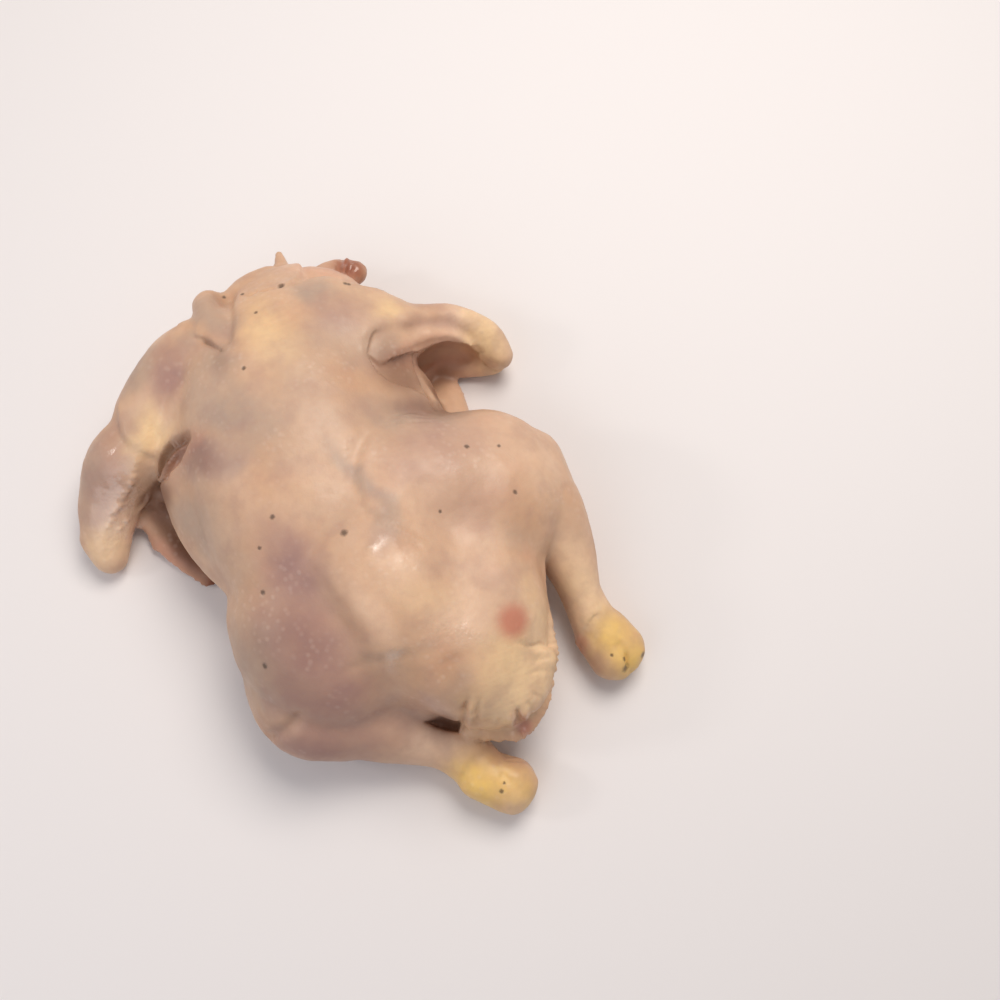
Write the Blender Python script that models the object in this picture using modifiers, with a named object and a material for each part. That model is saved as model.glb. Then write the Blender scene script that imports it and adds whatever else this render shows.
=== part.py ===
# A whole raw chicken, plucked and dressed, lying breast down with its back up.
# Metres, +Z up. The neck points to +Y and the tail to -Y, so the bird's left side is at -X.
# The origin is on the surface that the bird rests on, under the middle of its bounding box.
import bpy
import bmesh
import numpy as np
from mathutils import Euler, Matrix, Vector

# ---- driving dimensions, in millimetres ----
MM = 0.001
SHIFT = (-0.5, 3.2, 0.0)     # moves the drawing so that the box is centred on the origin
CORE_VOXEL = 2.6             # cell of the soft body, before the limbs join it
CORE_SMOOTH = 40             # passes that round the valleys between the masses
LIMB_VOXEL = 2.2             # cell of the whole bird
LIMB_SMOOTH = 4              # fewer passes, so that the creases at the limbs stay sharp
TRIANGLES = 7000             # faces left on the finished solid
FLAT_DEPTH = 1.2             # how much of the breast the resting surface presses flat

# Soft masses of the trunk: name, centre, half sizes, turn in degrees.
CORE = [
    ("breast", (0, 42, 36), (75, 90, 38.5), (0, 0, 0)),
    ("back", (-3, 30, 53), (57, 98, 38), (0, 0, -6)),
    ("pelvis", (13, -34, 57), (35, 60, 38.5), (0, 0, 2)),
    ("shoulders", (16, 92, 46), (66, 42, 30), (0, 0, -16)),
    ("neck_base", (30, 116, 38), (40, 28, 24), (0, 0, -16)),
    ("thigh_left", (-31, -42, 42), (42, 52, 38), (0, 0, 10)),
    ("thigh_right", (65, -18, 43), (50, 46, 36), (0, 0, 12)),
    ("rump_right", (45, -60, 48), (34, 46, 32), (0, 0, 0)),
    ("belly", (14, -42, 30), (58, 64, 31.5), (0, 0, 0)),
    ("rump", (24, -76, 52), (34, 44, 30), (0, 0, 10)),
    ("tail", (38, -100, 44), (26, 28, 20), (-14, 0, 8)),
]

# Limbs: each knot is a place on the middle line, half width, half height and lean in degrees.
LIMBS = {
    "leg_left": [(-49, -52, 32, 27, 28, 0), (-50, -70, 30, 27.5, 26, 0), (-30, -86, 26, 22.5, 22, 0),
                 (-15, -101, 22, 18, 17, 0), (-1, -115, 18, 14, 13, 0), (8, -132, 16, 13, 12, 0)],
    "hock_left": [(8, -138, 15.5, 13, 13, 0), (18, -149, 13.6, 14.5, 14, 0)],
    "leg_right": [(96, -14, 38, 22, 26, 0), (98, -38, 34, 18, 22, 0), (97, -60, 28, 15, 17, 0),
                  (94, -82, 22, 11, 13, 0), (94, -98, 17, 12, 12, 0)],
    "hock_right": [(95, -104, 15, 14.5, 13, 0), (97, -116, 13.2, 15.5, 13.5, 0)],
    "arm_left": [(-4, 110, 50, 20, 22, 0), (-32, 112, 46, 21, 20, 0), (-53, 102, 40, 22, 19, 0),
                 (-66, 93, 36, 21, 18, 0)],
    "arm_root_left": [(-34, 92, 50, 16, 16, 0), (-50, 86, 42, 13, 15, 0)],
    "forearm_left": [(-72, 90, 34, 20, 18, 0), (-86, 86, 29, 19.5, 17, 0), (-100, 75, 21, 17, 14, 0),
                     (-111, 60, 14, 13.5, 11, 0), (-114, 49, 10, 10, 9, 0)],
    "hand_left": [(-90, 68, 8, 10, 6, 0), (-84, 57, 7, 10, 6, 0), (-82, 42, 6, 9, 5, 0),
                  (-76, 27, 4.4, 7, 4, 0), (-73, 17, 4, 3.5, 3, 0)],
    "web_left": [(-88, 80, 14, 10, 12, 0), (-74, 66, 12, 10, 11, 0), (-66, 50, 10, 8, 9, 0)],
    "arm_right": [(44, 104, 46, 22, 21, 0), (62, 90, 44, 19, 19, 0), (72, 82, 42, 16, 17, 0)],
    "forearm_right": [(68, 80, 42, 15, 16, 10), (86, 78, 40, 13, 11, 20), (102, 73.5, 33, 11.5, 9, 25),
                      (114, 64, 25, 10.5, 8, 25), (118, 54, 18, 7.5, 8, 15)],
    "flank_right": [(54, 74, 30, 20, 26, 0), (62, 56, 24, 15, 22, 0), (64, 38, 24, 13, 22, 0)],
    "wing_wall_right": [(72, 82, 26, 7, 16, 0), (90, 80, 22, 6, 14, 0), (104, 74, 18, 6, 12, 0),
                        (114, 62, 14, 7, 9, 0)],
    "hand_right": [(114, 57, 10, 9, 9, 0), (98, 66, 7, 11, 7, 0), (84, 76, 7, 11, 7, 0),
                   (74, 70, 8, 10, 7, 0)],
    "tip_right": [(82, 62, 7, 8, 5, 0), (84, 52, 6, 8, 4.5, 0), (84, 44, 6, 8, 4.5, 0)],
    "shoulder_fold": [(-16, 114, 58, 8, 11, 0), (-11, 125, 56, 9, 11, 0), (-9, 137, 50, 9, 8, 0)],
    "neck_rim": [(-4, 129, 48, 9, 9, 0), (12, 137, 44, 9, 8, 0), (26, 140, 40, 9, 7, 0)],
    "neck_skin": [(24, 124, 42, 14, 11, 0), (32, 140, 37, 7, 6, 0), (36, 155, 33, 2.6, 2.6, 0)],
    "neck_stump": [(46, 122, 34, 16, 13, 0), (58, 131, 27, 12, 9, 0), (69, 131, 24, 7, 7, 0)],
    "tail_flap": [(76, -46, 46, 13, 10, 0), (70, -70, 44, 9, 8, 0), (64, -92, 42, 7, 6, 0),
                  (53, -106, 38, 7, 6, 0), (43, -121, 33, 9, 5, 0), (29, -124, 30, 7, 4.5, 0),
                  (15, -115, 28, 6, 4.5, 0)],
    "vent": [(30, -92, 26, 24, 20, 0), (6, -92, 22, 20, 16, 0)],
}

# Creases and ridges: reach in mm, depth in mm (minus lifts a ridge), and the line that it follows.
FOLDS = [
    (5, 4, [(-74, -73, 28), (-67, -74, 36), (-57, -75, 44), (-48, -77, 50)]),
    (6, 4, [(20, -84, 74), (20, -96, 64), (16, -110, 46)]),
    (11, 3, [(37, 30, 74), (30, 19, 80), (23, 6, 82), (22, -8, 82), (26, -24, 80), (34, -34, 78)]),
    (5, 5, [(2, 138, 52), (0, 126, 60), (-4, 112, 64), (-10, 102, 66)]),
    (4, 4, [(-22, 108, 62), (-14, 104, 66), (-8, 102, 66)]),
    (4, 5, [(56, 77, 58), (54, 70, 50), (60, 62, 44)]),
]

FINISH = {"color": (0.60, 0.42, 0.33, 1.0), "roughness": 0.38, "metallic": 0.0}


def millimetres(point):
    return Vector(point) * MM


def add_ellipsoid(bm, centre, half, basis, sides=24):
    """One closed egg shape, added to a mesh that the voxel grid joins later."""
    matrix = Matrix.Translation(millimetres(centre)) @ basis.to_4x4() \
        @ Matrix.Diagonal((half[0] * MM, half[1] * MM, half[2] * MM, 1.0))
    bmesh.ops.create_uvsphere(bm, u_segments=sides, v_segments=sides // 2, radius=1.0, matrix=matrix)


def curve_point(knots, t):
    """A point of the smooth curve through the knots; t runs from 0 to the last knot's number."""
    i = min(int(t), len(knots) - 2)
    u = t - i
    a, b, c, d = (np.array(knots[max(0, min(len(knots) - 1, k))], float) for k in (i - 1, i, i + 1, i + 2))
    return 0.5 * (2 * b + (c - a) * u + (2 * a - 5 * b + 4 * c - d) * u * u + (3 * b - a - 3 * c + d) * u ** 3)


def limb_mesh(knots, step=3.0):
    """A limb is a row of egg shapes along its middle line, close enough to read as one body."""
    bm = bmesh.new()
    for i in range(len(knots) - 1):
        length = (Vector(knots[i + 1][:3]) - Vector(knots[i][:3])).length
        count = max(1, round(length / step))
        last = 1 if i == len(knots) - 2 else 0
        for k in range(count + last):
            t = i + k / count
            here = curve_point(knots, t)
            ahead = curve_point(knots, min(t + 0.05, len(knots) - 1))
            behind = curve_point(knots, max(t - 0.05, 0))
            along = Vector((ahead - behind)[:3]).normalized()
            side = Vector((along.y, -along.x, 0.0)).normalized()
            up = side.cross(along)
            basis = Matrix((side, along, up)).transposed()
            basis = basis @ Euler((0, np.radians(here[5]), 0)).to_matrix()
            half = (here[3], min(here[3], here[4]), here[4])
            add_ellipsoid(bm, here[:3], half, basis, sides=16)
    mesh = bpy.data.meshes.new("limb")
    bm.to_mesh(mesh)
    bm.free()
    return mesh


def grid_and_smooth(obj, voxel, passes):
    """Joins everything in the object into one skin on a voxel grid, then relaxes it."""
    remesh = obj.modifiers.new("join", "REMESH")
    remesh.mode = "VOXEL"
    remesh.voxel_size = voxel * MM
    relax = obj.modifiers.new("relax", "SMOOTH")
    relax.factor = 0.5
    relax.iterations = passes
    bpy.context.view_layer.update()
    graph = bpy.context.evaluated_depsgraph_get()
    mesh = bpy.data.meshes.new_from_object(obj.evaluated_get(graph))
    obj.modifiers.clear()
    obj.data = mesh


def distance_to_line(points, line):
    best = np.full(len(points), 1e9)
    for a, b in zip(line[:-1], line[1:]):
        a, b = np.array(a, float), np.array(b, float)
        t = np.clip((points - a) @ (b - a) / ((b - a) @ (b - a)), 0, 1)
        best = np.minimum(best, np.linalg.norm(points - a - t[:, None] * (b - a), axis=1))
    return best


def press_folds(mesh):
    """Presses the creases into the skin, along its own normals."""
    count = len(mesh.vertices)
    co = np.empty(count * 3)
    mesh.vertices.foreach_get("co", co)
    co = co.reshape(-1, 3) / MM
    normal = np.empty(count * 3)
    mesh.vertex_normals.foreach_get("vector", normal)
    normal = normal.reshape(-1, 3)
    for reach, depth, line in FOLDS:
        push = depth * np.exp(-(distance_to_line(co, line) / reach) ** 2)
        co -= normal * push[:, None]
    mesh.vertices.foreach_set("co", (co * MM).ravel())
    mesh.update()


def cut_flat(mesh):
    """Cuts the underside at z = 0, where the resting surface presses the breast flat."""
    bm = bmesh.new()
    bm.from_mesh(mesh)
    cut = bmesh.ops.bisect_plane(bm, geom=bm.verts[:] + bm.edges[:] + bm.faces[:], dist=1e-6,
                                 plane_co=(0, 0, 0), plane_no=(0, 0, 1), clear_inner=True)
    edges = [e for e in cut["geom_cut"] if isinstance(e, bmesh.types.BMEdge)]
    bmesh.ops.holes_fill(bm, edges=edges, sides=0)
    bmesh.ops.triangulate(bm, faces=bm.faces[:])
    bmesh.ops.recalc_face_normals(bm, faces=bm.faces[:])
    bm.to_mesh(mesh)
    bm.free()


def make_skin(name, collection):
    material = bpy.data.materials.new("raw_skin")
    material.use_nodes = True
    shader = material.node_tree.nodes["Principled BSDF"]
    shader.inputs["Base Color"].default_value = FINISH["color"]
    shader.inputs["Roughness"].default_value = FINISH["roughness"]
    shader.inputs["Metallic"].default_value = FINISH["metallic"]

    bm = bmesh.new()
    for _, centre, half, turn in CORE:
        add_ellipsoid(bm, centre, half, Euler([np.radians(a) for a in turn]).to_matrix(), sides=48)
    mesh = bpy.data.meshes.new(name)
    bm.to_mesh(mesh)
    bm.free()
    obj = bpy.data.objects.new(name, mesh)
    collection.objects.link(obj)
    grid_and_smooth(obj, CORE_VOXEL, CORE_SMOOTH)

    bm = bmesh.new()
    bm.from_mesh(obj.data)
    for knots in LIMBS.values():
        limb = limb_mesh(knots)
        bm.from_mesh(limb)
        bpy.data.meshes.remove(limb)
    bm.to_mesh(obj.data)
    bm.free()
    grid_and_smooth(obj, LIMB_VOXEL, LIMB_SMOOTH)
    press_folds(obj.data)

    thin = obj.modifiers.new("thin", "DECIMATE")
    thin.ratio = TRIANGLES / (2 * len(obj.data.polygons))
    bpy.context.view_layer.update()
    mesh = bpy.data.meshes.new_from_object(obj.evaluated_get(bpy.context.evaluated_depsgraph_get()))
    obj.modifiers.clear()
    obj.data = mesh
    mesh.transform(Matrix.Translation(millimetres((SHIFT[0], SHIFT[1], SHIFT[2] - FLAT_DEPTH))))
    cut_flat(mesh)
    mesh.name = name
    mesh.materials.clear()
    mesh.materials.append(material)
    mesh.shade_smooth()
    return obj


for old in list(bpy.data.objects):
    bpy.data.objects.remove(old, do_unlink=True)
bird = bpy.data.collections.new("whole_chicken")
bpy.context.scene.collection.children.link(bird)
chicken = make_skin("chicken", bird)
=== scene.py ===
import time

import bmesh
import bpy
import numpy as np
from mathutils import Euler, Matrix, Vector, noise


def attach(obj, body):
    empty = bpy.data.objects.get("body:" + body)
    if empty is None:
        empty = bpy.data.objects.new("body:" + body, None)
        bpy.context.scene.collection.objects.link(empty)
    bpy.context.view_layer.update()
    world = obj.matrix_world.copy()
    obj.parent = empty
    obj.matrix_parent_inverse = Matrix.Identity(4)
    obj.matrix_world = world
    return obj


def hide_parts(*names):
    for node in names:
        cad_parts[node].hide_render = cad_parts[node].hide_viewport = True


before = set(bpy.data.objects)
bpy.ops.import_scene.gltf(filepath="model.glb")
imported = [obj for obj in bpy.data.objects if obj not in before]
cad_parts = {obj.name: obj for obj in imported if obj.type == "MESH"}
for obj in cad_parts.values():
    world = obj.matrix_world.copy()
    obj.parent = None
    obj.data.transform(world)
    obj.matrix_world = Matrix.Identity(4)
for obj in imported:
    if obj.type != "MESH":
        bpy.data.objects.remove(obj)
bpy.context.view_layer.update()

started = time.time()
mm = 0.001
drawingShift = (-0.5, 3.2, -1.2)    # from the drawing below to the resting frame, in mm


def report(stage):
    print("whole chicken:", stage, round(time.time() - started, 1), "s")


# sizes and places are in mm: +Y to the neck, -Y to the tail, -X is the bird's left
trunk = {
    "sides": 64,
    "cell": 2.6,           # size of the joined mesh's squares
    "passes": 40,          # how often it is smoothed
    "masses": [            # centre, half sizes, turn about Z in degrees, tilt about X
        ((0, 42, 36), (75, 90, 38.5), 0, 0),        # breast
        ((-3, 30, 53), (57, 98, 38), -6, 0),        # back
        ((13, -34, 57), (35, 60, 38.5), 2, 0),      # pelvis
        ((16, 92, 46), (66, 42, 30), -16, 0),       # shoulders
        ((30, 116, 38), (40, 28, 24), -16, 0),      # neck base
        ((-31, -42, 42), (42, 52, 38), 10, 0),      # left thigh
        ((65, -18, 43), (50, 46, 36), 12, 0),       # right thigh
        ((34, -3, 54), (25, 34, 36), 0, 0),         # its inner side, over the back
        ((54, -7, 50), (30, 37, 35.5), 0, 0),
        ((45, -60, 48), (34, 46, 32), 0, 0),        # right rump
        ((14, -42, 30), (58, 64, 31.5), 0, 0),      # belly
        ((24, -76, 52), (34, 44, 30), 10, 0),       # rump
        ((38, -100, 44), (26, 28, 20), 8, -14),     # tail
    ],
}

# each knot: x, y, z of the middle line, half width, half height, lean in degrees
limbs = {
    "sides": 20,
    "step": 2.6,           # from one bead to the next along a route
    "cell": 1.8,
    "passes": 6,
    "routes": {
        "leftLeg": [(-49, -52, 32, 27, 28, 0), (-50, -70, 30, 27.5, 26, 0), (-30, -86, 26, 22.5, 22, 0),
                    (-15, -101, 22, 18, 17, 0), (-1, -115, 18, 14, 13, 0), (8, -132, 16, 13, 12, 0)],
        "leftHock": [(8, -138, 15.5, 13, 13, 0), (18, -149, 13.6, 14.5, 14, 0)],
        "rightLeg": [(96, -14, 38, 22, 26, 0), (98, -38, 34, 18, 22, 0), (97, -60, 28, 15, 17, 0),
                     (94, -82, 22, 11, 13, 0), (94, -98, 17, 12, 12, 0)],
        "rightHock": [(95, -104, 15, 14.5, 13, 0), (97, -116, 13.2, 15.5, 13.5, 0)],
        "leftArm": [(-4, 110, 50, 20, 22, 0), (-32, 112, 46, 21, 20, 0), (-53, 102, 40, 22, 19, 0),
                    (-66, 93, 36, 21, 18, 0)],
        "leftArmRoot": [(-34, 92, 50, 16, 16, 0), (-50, 86, 42, 13, 15, 0)],
        "leftForearm": [(-72, 90, 34, 20, 18, 0), (-86, 86, 29, 19.5, 17, 0), (-100, 75, 21, 17, 14, 0),
                        (-111, 60, 14, 13.5, 11, 0), (-114.5, 50, 10, 9, 8.5, 0)],
        "leftHand": [(-90, 68, 8, 10, 6, 0), (-84, 57, 7, 10, 6, 0), (-82, 42, 6, 9, 5, 0),
                     (-76, 27, 4.4, 7, 4, 0), (-73, 17, 4, 3.5, 3, 0)],
        "leftWeb": [(-88, 80, 14, 10, 12, 0), (-74, 66, 12, 10, 11, 0), (-66, 50, 10, 8, 9, 0)],
        "rightArm": [(44, 104, 46, 22, 21, 0), (62, 90, 44, 19, 19, 0), (72, 82, 42, 16, 17, 0)],
        "rightForearm": [(68, 80, 42, 15, 16, 10), (86, 78, 40, 13, 11, 20),
                         (102, 73.5, 33, 11.5, 9, 25), (114, 64, 25, 10.5, 8, 25),
                         (118, 54, 18, 7.5, 8, 15)],
        "rightFlank": [(54, 74, 30, 20, 26, 0), (62, 56, 24, 15, 22, 0), (64, 38, 24, 13, 22, 0)],
        "rightWingWall": [(72, 82, 26, 7, 16, 0), (90, 80, 22, 6, 14, 0), (104, 74, 18, 6, 12, 0),
                          (114, 62, 14, 7, 9, 0)],
        "rightHand": [(114, 57, 10, 9, 9, 0), (98, 66, 7, 11, 7, 0), (84, 76, 7, 11, 7, 0),
                      (74, 70, 8, 10, 7, 0)],
        "rightTip": [(84, 62, 4, 9, 4, 0), (83, 53, 5.5, 9.5, 5.5, 0), (82, 43, 8, 9.5, 8, 0),
                     (80, 32, 10, 9, 9, 0)],
        "shoulderFold": [(-16, 114, 58, 8, 11, 0), (-11, 125, 56, 9, 11, 0), (-9, 137, 50, 9, 8, 0)],
        "neckRim": [(-4, 129, 48, 9, 9, 0), (12, 137, 44, 9, 8, 0), (26, 140, 40, 9, 7, 0)],
        "neckSkin": [(24, 124, 42, 14, 11, 0), (32, 140, 37, 7, 6, 0), (36, 155, 33, 2.6, 2.6, 0)],
        "neckStump": [(46, 122, 34, 16, 13, 0), (58, 131, 27, 12, 9, 0), (69, 131, 24, 7, 7, 0)],
        "tailFlap": [(76, -46, 46, 13, 10, 0), (70, -70, 44, 9, 8, 0), (64, -92, 42, 7, 6, 0),
                     (53, -106, 38, 7, 6, 0), (43, -121, 33, 9, 5, 0), (29, -124, 30, 7, 4.5, 0),
                     (15, -115, 28, 6, 4.5, 0)],
        "vent": [(30, -92, 26, 24, 20, 0), (6, -92, 22, 20, 16, 0)],
        "tailSkirt": [(57, -104, 46, 9, 12, 0), (47, -113, 45, 9, 12, 0), (34, -118, 43, 8, 12, 0),
                      (22, -114, 43, 8, 12, 0), (14, -107, 44, 7, 11, 0)],
    },
}

# reach and depth in mm (minus lifts a ridge), then the line that the fold follows
folds = {
    "waver": 1.0,          # how far a fold strays from its line
    "soft": {              # valleys that are rounded off: reach and line
        "passes": 110,
        "least": 0.02,     # a point with less weight than this stays
        "places": [(20, [(-12, -12, 84), (-8, -28, 84), (-7, -45, 83), (-6, -60, 80), (-6, -74, 72),
                         (-7, -86, 58)]),
                   (13, [(62, 14, 70), (66, -4, 76), (64, -24, 77), (56, -44, 78)]),
                   (9, [(24, -34, 88), (34, -44, 86), (46, -52, 80)])],
    },
    "lines": [
        # beside the hip ridge
        (16.0, -4.8, [(-12, -14, 86), (-9, -28, 88), (-8, -45, 87), (-7, -60, 84), (-8, -74, 76)]),
        (3.2, 2.6, [(-78, -75, 34), (-70, -78, 46), (-62, -78, 52), (-55, -76, 57)]),  # left knee
        (6.0, 2.0, [(20, -84, 74), (20, -96, 68), (17, -108, 58)]),  # beside the tail
        (4.6, 4.2, [(2, 136, 50), (-1, 122, 64), (-5, 108, 72), (-11, 98, 76)]),  # shoulder fold
        (4.5, -1.4, [(-28, 127, 60), (-21, 125, 63), (-15, 119, 68)]),
        (6.5, 5.0, [(79, 63, 30), (91, 62, 25), (100, 58, 18)]),  # under the right wing
        (2.0, 4.0, [(74, 62, 43), (73, 55, 42), (72, 47, 43), (71, 39, 46), (70, 33, 50)]),
        (2.4, -1.3, [(63, 65, 59), (71, 68, 54), (81, 70, 49), (90, 70, 45), (97, 68, 40),
                     (102, 65, 34), (107, 60, 24)]),
        (4.0, 2.6, [(73, 75, 55), (80, 76, 52), (88, 76, 49), (96, 74, 43), (102, 70, 37),
                    (107, 64, 30)]),
        # left flank
        (2.8, 5.0, [(-79, 63, 20), (-75, 50, 18), (-71, 38, 20), (-68, 26, 20), (-66, 14, 14)]),
        (3.4, -0.9, [(-70, 82, 50), (-84, 71, 40), (-95, 66, 34), (-105, 61, 29)]),  # left forearm
        (1.6, 1.6, [(-19, 113, 69), (-15, 105, 72), (-12, 98, 76)]),
        (1.2, -1.3, [(-66, 62, 43), (-74, 66, 32), (-82, 66, 24), (-89, 62, 21)]),  # skin of the armpit
        (1.2, 1.4, [(-70, 63, 38), (-78, 64, 24), (-86, 61, 18)]),
        (1.2, -1.1, [(-64, 62, 44), (-72, 60, 34), (-80, 61, 22)]),
        (1.6, 2.2, [(18, -107, 69), (14, -111, 62), (11, -113, 45), (10, -114, 30)]),  # tail folds
        (1.4, -1.5, [(20, -108, 69), (16, -113, 58), (13, -117, 34)]),
        (1.2, 1.4, [(23, -109, 69), (19, -115, 58), (17, -121, 34)]),
        (1.5, 3.2, [(37, -121, 58), (35, -126, 49), (34, -130, 34)]),  # vent
        (1.3, -1.8, [(38.5, -123, 56), (38, -128, 42), (37, -132, 31)]),
        (1.3, -1.4, [(33, -122, 57), (32, -127, 46), (31, -131, 34)]),
        (1.2, 1.2, [(42, -119, 58), (42, -124, 47), (41, -128, 36)]),
        (1.1, 1.0, [(66, -101, 44), (62, -100, 53), (55, -97, 63), (48, -93, 69)]),  # skin flap
        (1.0, 0.6, [(63, -105, 50), (59, -105, 57), (54, -105, 62)]),
        (1.1, -0.6, [(65, -103, 46), (60, -102.5, 56), (54, -101, 63)]),
        (1.1, 0.5, [(60, -110, 47), (55, -110, 57), (50, -109, 63)]),
        (1.2, 0.9, [(49, -121, 50), (46, -117, 58)]),
        (1.2, 0.9, [(28, -127, 38), (27, -121, 56)]),
        (1.2, -0.8, [(25, -126, 38), (24, -120, 56)]),
        (1.0, 1.2, [(29, 121, 66), (24, 122, 66), (18, 124, 65)]),  # neck skin
        (1.0, 0.9, [(9, 128, 62), (12, 125, 66), (17, 126, 64)]),
        (1.4, 0.7, [(31, 111, 70), (24, 108, 73), (14, 106, 75)]),
        (1.4, 0.5, [(33, 102, 73), (25, 99, 76), (14, 98, 78)]),
        (1.0, 0.9, [(34, 25, 78), (43, 24, 72), (52, 22, 68), (60, 15, 67)]),  # thigh on flank
        (1.0, 0.8, [(38, 27, 75), (47, 27, 70), (56, 25, 64), (66, 19, 62)]),
        (1.0, 0.9, [(40, 29, 74), (48, 30, 68), (58, 29, 60), (68, 22, 60)]),
        (1.0, -0.6, [(36, 26, 77), (45, 25.5, 71), (54, 24, 66)]),
        (1.0, 0.8, [(18, -21, 92), (25, -30, 91), (31, -38, 88)]),  # below the right thigh
        (1.0, -0.6, [(19.5, -20.5, 92), (27, -29, 91), (34, -37, 87)]),
        (1.0, 0.7, [(21, -20, 91), (29, -28, 90), (37, -36, 86)]),
        (2.4, 1.6, [(98, -112, 31), (99, -122, 26), (97, -131, 16)]),  # hocks
        (1.1, 1.6, [(100, -119, 27), (98, -124, 24), (97, -127, 21)]),
        (2.4, 0.8, [(17, -141, 28), (21, -151, 26), (24, -160, 15)]),
        (1.2, 0.8, [(20, -136, 23), (25, -139, 21), (29, -143, 18)]),
        (1.2, 0.7, [(22, -134, 21), (28, -137, 17)]),
        (1.1, 1.3, [(103, 61, 20), (109, 55, 15), (114, 49, 11)]),  # right wing's end
        (1.1, -0.9, [(105, 63, 20), (111, 57, 16), (116, 51, 12)]),
        (1.6, 1.8, [(66, 140, 28), (62, 133, 36), (60, 125, 42)]),  # neck stump
        (1.6, 1.8, [(72, 136, 26), (68, 130, 34), (66, 122, 40)]),
        (1.4, -1.4, [(69, 139, 28), (65, 132, 36), (63, 124, 42)]),
    ],
    # where one stretch of skin lies over another: the side to the left of the line is the upper one
    "laps": [              # lift and its reach, press and its reach, width of the edge, line
        # right thigh
        (2.5, 10, 0.9, 6, 3.4, [(62, 33, 60), (52, 31, 68), (42, 27, 76), (31, 21, 82), (22, 11, 85),
                                (18, 1, 87), (17, -9, 90), (20, -19, 92), (25, -27, 91)]),
        # over the right wing
        (1.0, 6, 2.2, 3.5, 1.2, [(71, 38, 48), (67, 43, 53), (56, 51, 61), (51, 57, 64), (50.5, 66, 64),
                                 (54, 73, 65), (60, 77, 66), (66, 77, 65)]),
        # web of the right wing
        (1.6, 4, 1.6, 4, 1.0, [(52, 62, 61), (63, 62, 58), (75, 65, 46), (86, 66, 43), (95, 65, 37),
                               (100, 63, 32), (105, 60, 22), (108, 54, 16), (110, 48, 14)]),
        # left elbow
        (2.0, 10, 0.6, 6, 3.6, [(-70, 112, 46), (-74, 100, 51), (-75, 91, 50), (-72, 82, 50),
                                (-67, 76, 48), (-60, 72, 54)]),
        (1.3, 5, 1.5, 4, 1.4, [(-23, 117, 67), (-19, 113, 69), (-15, 105, 72), (-11, 95, 77)]),
        # neck
        (1.0, 5, 4.4, 12, 1.4, [(78, 99, 50), (65, 106, 57), (56, 114, 60), (47, 121, 59),
                                (38, 122, 60)]),
        (1.4, 6, 1.6, 5, 1.6, [(28, 118, 67), (36, 122, 62), (41, 128, 57), (43, 138, 49),
                               (42, 150, 38)]),
        # right ankle
        (0.6, 4, 0.5, 4, 1.4, [(79, -107, 12), (82, -103, 18), (87, -98, 27), (93, -96, 31),
                               (99, -96, 30)]),
        # left ankle
        (0.8, 5, 0.7, 5, 1.4, [(-5, -138, 20), (0, -133, 27), (8, -129, 28), (16, -129, 24)]),
    ],
}


def eggShape(bm, centre, half, basis, sides):
    matrix = Matrix.Translation(Vector(centre) * mm) @ basis.to_4x4() \
        @ Matrix.Diagonal((half[0] * mm, half[1] * mm, half[2] * mm, 1.0))
    bmesh.ops.create_uvsphere(bm, u_segments=sides, v_segments=sides // 2, radius=1.0, matrix=matrix)


def alongRoute(knots, t):      # a smooth curve through the knots
    i = min(int(t), len(knots) - 2)
    u = t - i
    near = [max(0, min(len(knots) - 1, k)) for k in range(i - 1, i + 3)]
    a, b, c, d = (np.array(knots[k], float) for k in near)
    bend = 2 * a - 5 * b + 4 * c - d
    twist = 3 * b - a - 3 * c + d
    return 0.5 * (2 * b + (c - a) * u + bend * u * u + twist * u ** 3)


def limbMesh(knots):           # overlapping beads along the route
    ahead, behind = 0.05, -0.05
    bm = bmesh.new()
    for i in range(len(knots) - 1):
        length = (Vector(knots[i + 1][:3]) - Vector(knots[i][:3])).length
        count = max(1, round(length / limbs["step"]))
        last = 1 if i == len(knots) - 2 else 0
        for k in range(count + last):
            t = i + k / count
            here = alongRoute(knots, t)
            after = alongRoute(knots, min(t + ahead, len(knots) - 1))
            before = alongRoute(knots, max(t + behind, 0))
            along = Vector((after - before)[:3]).normalized()
            side = Vector((along.y, -along.x, 0.0)).normalized()
            basis = Matrix((side, along, side.cross(along))).transposed()
            basis = basis @ Euler((0, np.radians(here[5]), 0)).to_matrix()
            half = (here[3], min(here[3], here[4]), here[4])
            eggShape(bm, here[:3], half, basis, limbs["sides"])
    mesh = bpy.data.meshes.new("limb")
    bm.to_mesh(mesh)
    bm.free()
    return mesh


def relaxSkin(skin, passes, group=""):
    relax = skin.modifiers.new("relax", "SMOOTH")
    relax.iterations = passes
    relax.vertex_group = group
    bpy.context.view_layer.update()
    mesh = bpy.data.meshes.new_from_object(skin.evaluated_get(bpy.context.evaluated_depsgraph_get()))
    skin.modifiers.clear()
    skin.vertex_groups.clear()
    skin.data = mesh


def joinSkin(skin, cell, passes):
    remesh = skin.modifiers.new("join", "REMESH")
    remesh.mode = "VOXEL"
    remesh.voxel_size = cell * mm
    relaxSkin(skin, passes)


def readPoints(mesh):
    co = np.empty(len(mesh.vertices) * 3)
    mesh.vertices.foreach_get("co", co)
    normal = np.empty(len(mesh.vertices) * 3)
    mesh.vertex_normals.foreach_get("vector", normal)
    return co.reshape(-1, 3) / mm, normal.reshape(-1, 3)


def writePoints(mesh, points):
    mesh.vertices.foreach_set("co", (points * mm).ravel())
    mesh.update()


def noiseField(points, size, seed):
    shift = Vector((seed, -seed, seed * 0.5))
    return np.array([noise.noise(Vector(p) / size + shift) for p in points])


def smoothLine(line, steps=4):
    if len(line) < 3:
        return [np.array(p, float) for p in line]
    return [alongRoute(line, k / steps) for k in range((len(line) - 1) * steps + 1)]


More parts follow.
